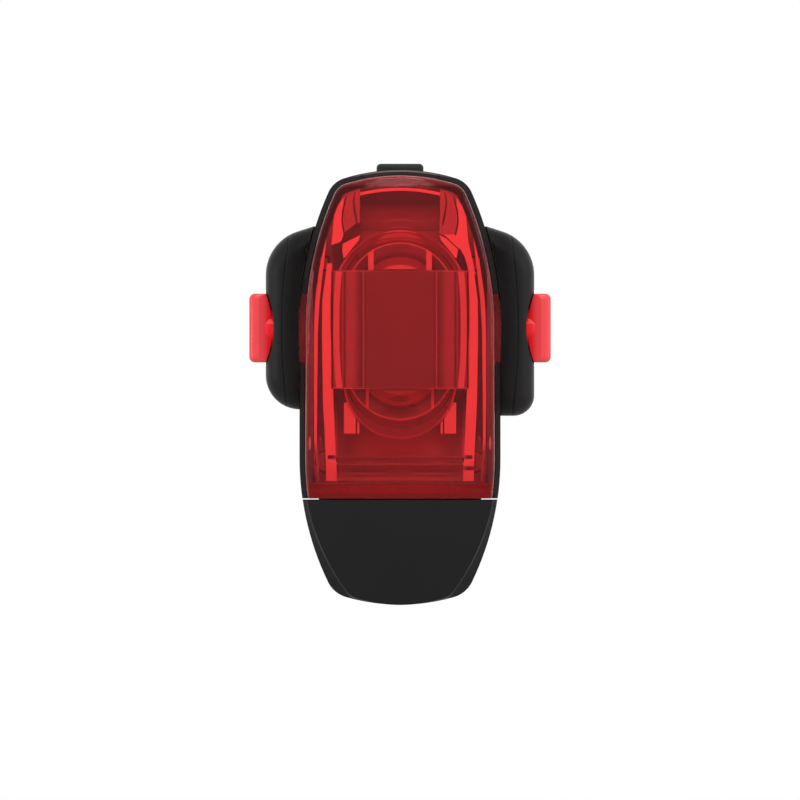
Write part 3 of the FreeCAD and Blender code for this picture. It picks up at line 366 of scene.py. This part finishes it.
# Oval reflector
platedLook = {
    "metallic": 0.6,
    "roughness": (0.22, 0.38),
    "coatMm": 2.5,
    "bowl": ("#eee0e0", "#f8eaea"),
    "bowlSide": "#f0e4e4",
    "bowlMm": (4.3, 4.9),
    "deepMm": (-31.0, -29.5),    # the bowl is painted darker as shade between these depths
    "deepShade": "#bcaaaa",
    "rib": "#e4dfdc",
    "ribMm": (-0.35, -0.5),      # ribs lie this far inside the first edge
    "upperMm": 4.34,             # z of the centre of all upper ends
    # each edge's upper radius, the z of its lower centre, its lower radius, the half width and
    # colour of its painted line (a highlight, dark on the middle edge), the line's strength at the
    # middle, and the painted shade outside it
    "edges": [
        {"upper": 7.56, "low": -5.42, "lower": 7.42, "half": 0.09, "lit": "#d8cdcb",
         "least": 0.04, "outer": "#74696a"},
        {"upper": 8.26, "low": -6.3, "lower": 7.6, "half": 0.09, "lit": "#3a3030",
         "least": 0.3, "outer": "#857976"},
        {"upper": 9.16, "low": -7.5, "lower": 7.76, "half": 0.14, "lit": "#d2c8c6",
         "least": 0.15, "outer": "#9c9292"},
    ],
    "stepMm": 0.1,
    "middleMm": (4.9, 6.6),
    "ribLevelMm": (-32.6, -32.9),
    "dipMm": (-11.2, -11.5),     # the bowl's foot, in shade
    "dip": "#e4d0d0",
    # painted highlights: reflections on the flange, a glint below the optic, and a darker spot
    "lightAndShadeMarks": [
        (0.0, 3.6, 12.5, 0.42, 62.0, "#a39595"), (0.0, 2.9, 12.95, 0.32, 58.0, "#bcb2b0"),
        (0.0, 2.3, 13.5, 0.11, 54.0, "#dcd2d0"), (0.0, 1.35, -9.85, 0.42, 0.0, "#8a7878"),
        (0.0, 2.2, -9.08, 0.17, -60.0, "#f0e8e6"),
    ],
}


def platedPlastic(name, look):
    # vapour-plated plastic: soft metal gloss, a flange painted darker as shade, painted highlights
    # on the edges and bare white ribs
    made, tree, place = newMaterial(name)
    axes, side = splitPlace(tree, place)
    coat = addNode(tree, "TexNoise", {"Vector": place, "Scale": 1 / (look["coatMm"] * mm),
                                      "Detail": 3.0})
    colour = addNode(tree, "Mix", {0: coat, 6: hexLinear(look["bowl"][0]),
                                   7: hexLinear(look["bowl"][1])}, 2, data_type="RGBA")
    # the bowl's side tone, then painted shade in its depth and at its foot
    for source, span, tone in ((side, "bowlMm", "bowlSide"), (axes["Y"], "deepMm", "deepShade"),
                               (axes["Z"], "dipMm", "dip")):
        share = addNode(tree, "MapRange", {0: source, 1: look[span][0] * mm,
                                           2: look[span][1] * mm})
        colour = addNode(tree, "Mix", {0: share, 6: colour, 7: hexLinear(look[tone])}, 2,
                         data_type="RGBA")
    front = addNode(tree, "MapRange", {0: axes["Y"], 1: look["ribLevelMm"][0] * mm,
                                       2: look["ribLevelMm"][1] * mm})
    above = addNode(tree, "Math", {0: axes["Z"], 1: 0.0}, operation="GREATER_THAN")
    step = look["stepMm"] * mm
    offsets = []
    for edge in look["edges"]:
        # distance from an outline of two round ends, below zero inside it
        centre = addNode(tree, "MapRange", {0: above, 3: edge["low"] * mm,
                                            4: look["upperMm"] * mm})
        rise = addNode(tree, "Math", {0: axes["Z"], 1: centre}, operation="SUBTRACT")
        flat = addNode(tree, "CombineXYZ", {"X": axes["X"], "Y": rise})
        radius = addNode(tree, "VectorMath", {0: flat}, "Value", operation="LENGTH")
        wanted = addNode(tree, "MapRange", {0: above, 3: edge["lower"] * mm,
                                            4: edge["upper"] * mm})
        offset = addNode(tree, "Math", {0: radius, 1: wanted}, operation="SUBTRACT")
        # painted shade outside each edge
        beyond = addNode(tree, "MapRange", {0: offset, 1: -step, 2: step})
        colour = addNode(tree, "Mix", {0: beyond, 6: colour, 7: hexLinear(edge["outer"])}, 2,
                         data_type="RGBA")
        offsets.append(offset)
    colour = paintLightAndShade(tree, place, colour, look["lightAndShadeMarks"])
    # painted lines along the edges: highlights, dark on the middle edge
    for offset, edge in zip(offsets, look["edges"]):
        line = addNode(tree, "Math", {0: offset, 1: 0.0, 2: edge["half"] * mm},
                       operation="COMPARE")
        line = addNode(tree, "Math", {0: line, 1: front}, operation="MULTIPLY")
        strength = addNode(tree, "MapRange", {0: side, 1: look["middleMm"][0] * mm,
                                              2: look["middleMm"][1] * mm, 3: edge["least"],
                                              4: 1.0})
        line = addNode(tree, "Math", {0: line, 1: strength}, operation="MULTIPLY")
        colour = addNode(tree, "Mix", {0: line, 6: colour, 7: hexLinear(edge["lit"])}, 2,
                         data_type="RGBA")
    inside = addNode(tree, "MapRange", {0: offsets[0], 1: look["ribMm"][0] * mm,
                                        2: look["ribMm"][1] * mm})
    ribs = addNode(tree, "Math", {0: inside, 1: front}, operation="MULTIPLY")
    colour = addNode(tree, "Mix", {0: ribs, 6: colour, 7: hexLinear(look["rib"])}, 2,
                     data_type="RGBA")
    metal = addNode(tree, "MapRange", {0: ribs, 3: look["metallic"], 4: 0.0})
    rough = addNode(tree, "MapRange", {0: coat, 3: look["roughness"][0],
                                       4: look["roughness"][1]})
    surface = addNode(tree, "BsdfPrincipled", {"Base Color": colour, "Metallic": metal,
                                               "Roughness": rough})
    addNode(tree, "OutputMaterial", {"Surface": surface})
    return made


# Centre optic
opticLook = {
    "face": "#6f6767",
    "shoulderLight": "#948c8c",
    "shoulderDark": "#565151",
    "flatMm": 5.2,
    "shoulderMm": 6.7,
    # |x|, half width, bow per metre and colour of the painted highlight and shade lines down each side
    "lines": [
        (4.86, 0.12, 0.0, "#565151"), (5.07, 0.09, 0.0, "#a49b99"), (7.68, 0.16, 0.0, "#625b5b"),
        (8.0, 0.07, 0.0, "#938a88"), (8.22, 0.14, 0.0, "#6a6363"), (8.87, 0.42, 6.2, "#dbd6d3"),
        (9.4, 0.12, 0.0, "#403a3a"),
    ],
    "softMm": 0.04,              # the lines' soft border, to each side
    "endsMm": (-8.47, 7.98),     # z of the lower and upper edge, each with a painted highlight
    "endHalfMm": 0.14,
    "endFadeMm": (3.8, 4.4),     # weaker inside this |x|
    "endLeast": 0.3,
    "endHighlight": "#b8b0ae",
    "hazeMm": 6.0,
    "hazeShare": 0.12,
    "haze": "#3a3636",
    "roughness": 0.4,
    "ior": 1.49,
    "specular": 0.2,
}


def frostedOptic(name, look):
    # satin acrylic bridge: grey face, shoulders painted from light to shade, a painted highlight
    # strip down each side, painted highlights on the edges
    made, tree, place = newMaterial(name)
    axes, side = splitPlace(tree, place)
    square = addNode(tree, "Math", {0: axes["Z"], 1: axes["Z"]}, operation="MULTIPLY")
    # painted light and shade across the curved shoulders
    turn = addNode(tree, "MapRange", {0: side, 1: look["flatMm"] * mm, 2: look["shoulderMm"] * mm},
                   interpolation_type="SMOOTHSTEP")
    colour = addNode(tree, "Mix", {0: turn, 6: hexLinear(look["shoulderDark"]),
                                   7: hexLinear(look["shoulderLight"])}, 2, data_type="RGBA")
    flat = addNode(tree, "Math", {0: side, 1: look["flatMm"] * mm}, operation="LESS_THAN")
    colour = addNode(tree, "Mix", {0: flat, 6: colour, 7: hexLinear(look["face"])}, 2,
                     data_type="RGBA")
    for at, half, bow, tone in look["lines"]:
        bent = addNode(tree, "Math", {0: square, 1: bow, 2: side}, operation="MULTIPLY_ADD")
        away = addNode(tree, "Math", {0: bent, 1: at * mm}, operation="SUBTRACT")
        away = addNode(tree, "Math", {0: away}, operation="ABSOLUTE")
        line = addNode(tree, "MapRange", {0: away, 1: (half + look["softMm"]) * mm,
                                          2: (half - look["softMm"]) * mm})
        colour = addNode(tree, "Mix", {0: line, 6: colour, 7: hexLinear(tone)}, 2,
                         data_type="RGBA")
    # painted highlights along the lower and upper edge, weaker in the middle
    outer = addNode(tree, "MapRange", {0: side, 1: look["endFadeMm"][0] * mm,
                                       2: look["endFadeMm"][1] * mm, 3: look["endLeast"],
                                       4: 1.0})
    for end in look["endsMm"]:
        line = addNode(tree, "Math", {0: axes["Z"], 1: end * mm, 2: look["endHalfMm"] * mm},
                       operation="COMPARE")
        line = addNode(tree, "Math", {0: line, 1: outer}, operation="MULTIPLY")
        colour = addNode(tree, "Mix", {0: line, 6: colour, 7: hexLinear(look["endHighlight"])}, 2,
                         data_type="RGBA")
    haze = addNode(tree, "TexNoise", {"Vector": place, "Scale": 1 / (look["hazeMm"] * mm),
                                      "Detail": 1.0})
    haze = addNode(tree, "Math", {0: haze, 1: look["hazeShare"]}, operation="MULTIPLY")
    colour = addNode(tree, "Mix", {0: haze, 6: colour, 7: hexLinear(look["haze"])}, 2,
                     data_type="RGBA")
    surface = addNode(tree, "BsdfPrincipled", {
        "Base Color": colour, "Roughness": look["roughness"], "IOR": look["ior"],
        "Specular IOR Level": look["specular"]})
    addNode(tree, "OutputMaterial", {"Surface": surface})
    return made


# Metals
drawnLines = {"squeeze": 0.12, "strength": 0.2, "reliefMm": 0.02}
metals = {
    "plug": {"dark": "#a7a9ab", "light": "#c9cbcc", "roughness": (0.2, 0.32), "grainMm": 0.5},
    "screw": {"dark": "#8d8f92", "light": "#b4b6b8", "roughness": (0.28, 0.4), "grainMm": 0.4},
    "gold": {"dark": "#c79a3c", "light": "#e2bd62", "roughness": (0.18, 0.28), "grainMm": 0.5},
    "foil": {"dark": "#a3a5a9", "light": "#c3c5c8", "roughness": (0.25, 0.42), "grainMm": 3.0},
}


def brushedMetal(name, look, skin=drawnLines):
    # thin plated sheet or turned steel: fine drawn lines along its height
    made, tree, place = newMaterial(name)
    longer = addNode(tree, "Mapping", {"Vector": place, "Scale": (1.0, 1.0, skin["squeeze"])})
    lines = addNode(tree, "TexNoise", {"Vector": longer, "Detail": 4.0,
                                       "Scale": 1 / (look["grainMm"] * mm)})
    colour = addNode(tree, "Mix", {0: lines, 6: hexLinear(look["dark"]),
                                   7: hexLinear(look["light"])}, 2, data_type="RGBA")
    rough = addNode(tree, "MapRange", {0: lines, 3: look["roughness"][0],
                                       4: look["roughness"][1]})
    bump = addNode(tree, "Bump", {"Height": lines, "Strength": skin["strength"],
                                  "Distance": skin["reliefMm"] * mm})
    surface = addNode(tree, "BsdfPrincipled", {"Base Color": colour, "Metallic": 1.0,
                                               "Roughness": rough, "Normal": bump})
    addNode(tree, "OutputMaterial", {"Surface": surface})
    return made


# Board, cell and other filling
fillings = {
    "board": {"dark": "#1d4a33", "light": "#2a6244", "roughness": 0.35, "grainMm": 2.0,
              "reliefMm": 0.02},
    "part": {"dark": "#18191a", "light": "#26282a", "roughness": 0.45, "grainMm": 0.5,
             "reliefMm": 0.01},
    "foam": {"dark": "#3b3b3d", "light": "#56565a", "roughness": 0.95, "grainMm": 0.45,
             "reliefMm": 0.15},
    "lead": {"dark": "#a1161b", "light": "#c2272c", "roughness": 0.4, "grainMm": 1.5,
             "reliefMm": 0.01},
}


def plainFilling(name, look, strength=0.6):
    # board, moulded parts, foam or wire insulation: an even speckle in colour and height
    made, tree, place = newMaterial(name)
    speck = addNode(tree, "TexNoise", {"Vector": place, "Scale": 1 / (look["grainMm"] * mm),
                                       "Detail": 3.0})
    colour = addNode(tree, "Mix", {0: speck, 6: hexLinear(look["dark"]),
                                   7: hexLinear(look["light"])}, 2, data_type="RGBA")
    bump = addNode(tree, "Bump", {"Height": speck, "Strength": strength,
                                  "Distance": look["reliefMm"] * mm})
    surface = addNode(tree, "BsdfPrincipled", {"Base Color": colour,
                                               "Roughness": look["roughness"], "Normal": bump})
    addNode(tree, "OutputMaterial", {"Surface": surface})
    return made


# LEDs
ledLook = {
    "ceramic": ("#e8e6df", "#f5f4ef"),
    "speckMm": 0.4,
    "phosphor": "#e9c64a",
    "domeMm": (-28.25, -28.4),   # the depths between which ceramic gives way to the dome
    "roughness": 0.3,
    "coat": 0.3,
    "coatRoughness": 0.1,
}


def ledPackage(name, look):
    # white ceramic package with a yellow phosphor dome on its front, under a clear gel
    made, tree, place = newMaterial(name)
    depth = addNode(tree, "SeparateXYZ", {0: place}, "Y")
    dome = addNode(tree, "MapRange", {0: depth, 1: look["domeMm"][0] * mm,
                                      2: look["domeMm"][1] * mm})
    speck = addNode(tree, "TexNoise", {"Vector": place, "Scale": 1 / (look["speckMm"] * mm)})
    colour = addNode(tree, "Mix", {0: speck, 6: hexLinear(look["ceramic"][0]),
                                   7: hexLinear(look["ceramic"][1])}, 2, data_type="RGBA")
    colour = addNode(tree, "Mix", {0: dome, 6: colour, 7: hexLinear(look["phosphor"])}, 2,
                     data_type="RGBA")
    surface = addNode(tree, "BsdfPrincipled", {
        "Base Color": colour, "Roughness": look["roughness"], "Coat Weight": look["coat"],
        "Coat Roughness": look["coatRoughness"]})
    addNode(tree, "OutputMaterial", {"Surface": surface})
    return made


housingSkin = mouldedPlastic("blackAbsSparkTexture", plastics["housing"])
trayWhite = reflectorPlastic("whiteAbsReflectorTray", trayLook)
strapSkin = softRubber("blackSiliconeStrap", rubbers["strap"])
sealSkin = softRubber("blackSiliconeSeal", rubbers["seal"])
partSkin = plainFilling("blackMouldedComponent", fillings["part"])
ledSkin = ledPackage("whiteCeramicLed", ledLook)
finishes = {
    "housing": housingSkin,
    "switch_plunger": housingSkin,
    "usb_carrier": housingSkin,
    "cap": mouldedPlastic("blackAbsCap", plastics["cap"]),
    "lens": redPolycarbonate("clearRedPolycarbonate", lensLook),
    "reflector_frame": trayWhite,
    "usb_tongue": trayWhite,
    "oval_reflector": platedPlastic("vapourPlatedReflector", platedLook),
    "centre_optic": frostedOptic("satinAcrylicOptic", opticLook),
    "led_board": plainFilling("greenGlassEpoxyBoard", fillings["board"]),
    "main_leds": ledSkin,
    "side_leds": ledSkin,
    "board_components": partSkin,
    "tact_switch": partSkin,
    "board_screws": brushedMetal("zincPlatedScrew", metals["screw"]),
    "battery": brushedMetal("laminatedCellFoil", metals["foil"]),
    "battery_pad": plainFilling("closedCellFoam", fillings["foam"]),
    "battery_leads": plainFilling("redWireInsulation", fillings["lead"]),
    "usb_shell": brushedMetal("nickelPlatedPlugShell", metals["plug"]),
    "usb_contacts": brushedMetal("goldPlatedContact", metals["gold"]),
    "cap_seal": sealSkin,
    "button_seal": sealSkin,
    "button": softRubber("greySiliconeButton", rubbers["button"]),
    "saddle_pad": strapSkin,
    "strap": strapSkin,
}
for name, finish in finishes.items():
    for slot in nodes[name].material_slots:
        slot.material = finish
print("finishes set on", len(finishes), "nodes")


# Studio, in metres and watts
studio = {
    "ambient": 0.45,
    "lamps": {
        "left": {"place": (-1.0, -0.5, -0.1), "size": (0.7, 0.7), "power": 7.0},
        "right": {"place": (1.0, -0.45, 0.25), "size": (0.7, 0.7), "power": 4.0},
        "top": {"place": (0.0, -0.25, 1.0), "size": (0.3, 0.3), "power": 3.0},
        "front": {"place": (0.0, -0.745, 0.605), "size": (0.3, 0.56), "power": 3.2},
    },
    "aim": (0.0, -0.02, -0.008),
    "floorZ": -0.0552,           # just below the pulled cap
    "floorHalf": 0.6,
    "floorTones": ("#e6e6e6", "#eaeaea"),
    "floorCloud": 6.0,           # clouds per metre
    "floorLift": 0.62,           # what the camera sees on top of the lit floor, to read white
}
cameraLook = {
    "focalMm": 1000,
    "sensorMm": 36,
    "clipEnd": 50,
    "viewWidth": 0.112,          # shown at the lens's depth
    "lensDepth": -0.030,
    "height": -0.01008,
}


def makeWorld(look):
    # white where a camera, mirror or glass ray leaves the scene, a grey level for diffuse light
    world = bpy.data.worlds.new("studioWorld")
    bpy.context.scene.world = world
    world.use_nodes = True
    tree = world.node_tree
    tree.nodes.clear()
    path = addNode(tree, "LightPath", {}).node.outputs
    seen = addNode(tree, "Math", {0: path["Is Camera Ray"], 1: path["Is Glossy Ray"]},
                   operation="MAXIMUM")
    seen = addNode(tree, "Math", {0: seen, 1: path["Is Transmission Ray"]}, operation="MAXIMUM")
    level = addNode(tree, "MapRange", {0: seen, 3: look["ambient"], 4: 1.0})
    sky = addNode(tree, "Background", {"Color": (1, 1, 1, 1), "Strength": level})
    addNode(tree, "OutputWorld", {"Surface": sky})


def makeLamps(look):
    # soft square and long lamps, all turned to the same point
    aim = Vector(look["aim"])
    for name, lamp in look["lamps"].items():
        data = bpy.data.lights.new(name + "Lamp", "AREA")
        data.shape = "RECTANGLE"
        data.size, data.size_y = lamp["size"]
        data.energy = lamp["power"]
        made = bpy.data.objects.new(name + "Lamp", data)
        made.location = lamp["place"]
        made.rotation_euler = (aim - made.location).to_track_quat("-Z", "Y").to_euler()
        bpy.context.scene.collection.objects.link(made)


def makeFloor(look):
    # a pale floor that reads white when lit and keeps the shadow
    half, z = look["floorHalf"], look["floorZ"]
    mesh = bpy.data.meshes.new("floor")
    mesh.from_pydata([(-half, -half, z), (half, -half, z), (half, half, z), (-half, half, z)],
                     [], [(0, 1, 2, 3)])
    floor = bpy.data.objects.new("floor", mesh)
    bpy.context.scene.collection.objects.link(floor)
    made, tree, place = newMaterial("paleFloor")
    cloud = addNode(tree, "TexNoise", {"Vector": place, "Scale": look["floorCloud"]})
    colour = addNode(tree, "Mix", {0: cloud, 6: hexLinear(look["floorTones"][0]),
                                   7: hexLinear(look["floorTones"][1])}, 2, data_type="RGBA")
    skin = addNode(tree, "BsdfDiffuse", {"Color": colour})
    camera = addNode(tree, "LightPath", {}, "Is Camera Ray")
    lift = addNode(tree, "Math", {0: camera, 1: look["floorLift"]}, operation="MULTIPLY")
    lift = addNode(tree, "Emission", {"Color": (1, 1, 1, 1), "Strength": lift})
    both = addNode(tree, "AddShader", {0: skin, 1: lift})
    addNode(tree, "OutputMaterial", {"Surface": both})
    mesh.materials.append(made)


def makeCamera(look):
    # straight at the lens with a very long focal length, from viewWidth * focal / sensor away
    data = bpy.data.cameras.new("camera")
    data.lens = look["focalMm"]
    data.sensor_width = look["sensorMm"]
    data.clip_end = look["clipEnd"]
    away = look["viewWidth"] * look["focalMm"] / look["sensorMm"]
    made = bpy.data.objects.new("camera", data)
    made.location = (0, look["lensDepth"] - away, look["height"])
    made.rotation_euler = (math.radians(90), 0, 0)
    bpy.context.scene.collection.objects.link(made)
    bpy.context.scene.camera = made


makeWorld(studio)
makeLamps(studio)
makeFloor(studio)
makeCamera(cameraLook)
bpy.context.scene.view_settings.view_transform = "Standard"
print("studio ready")
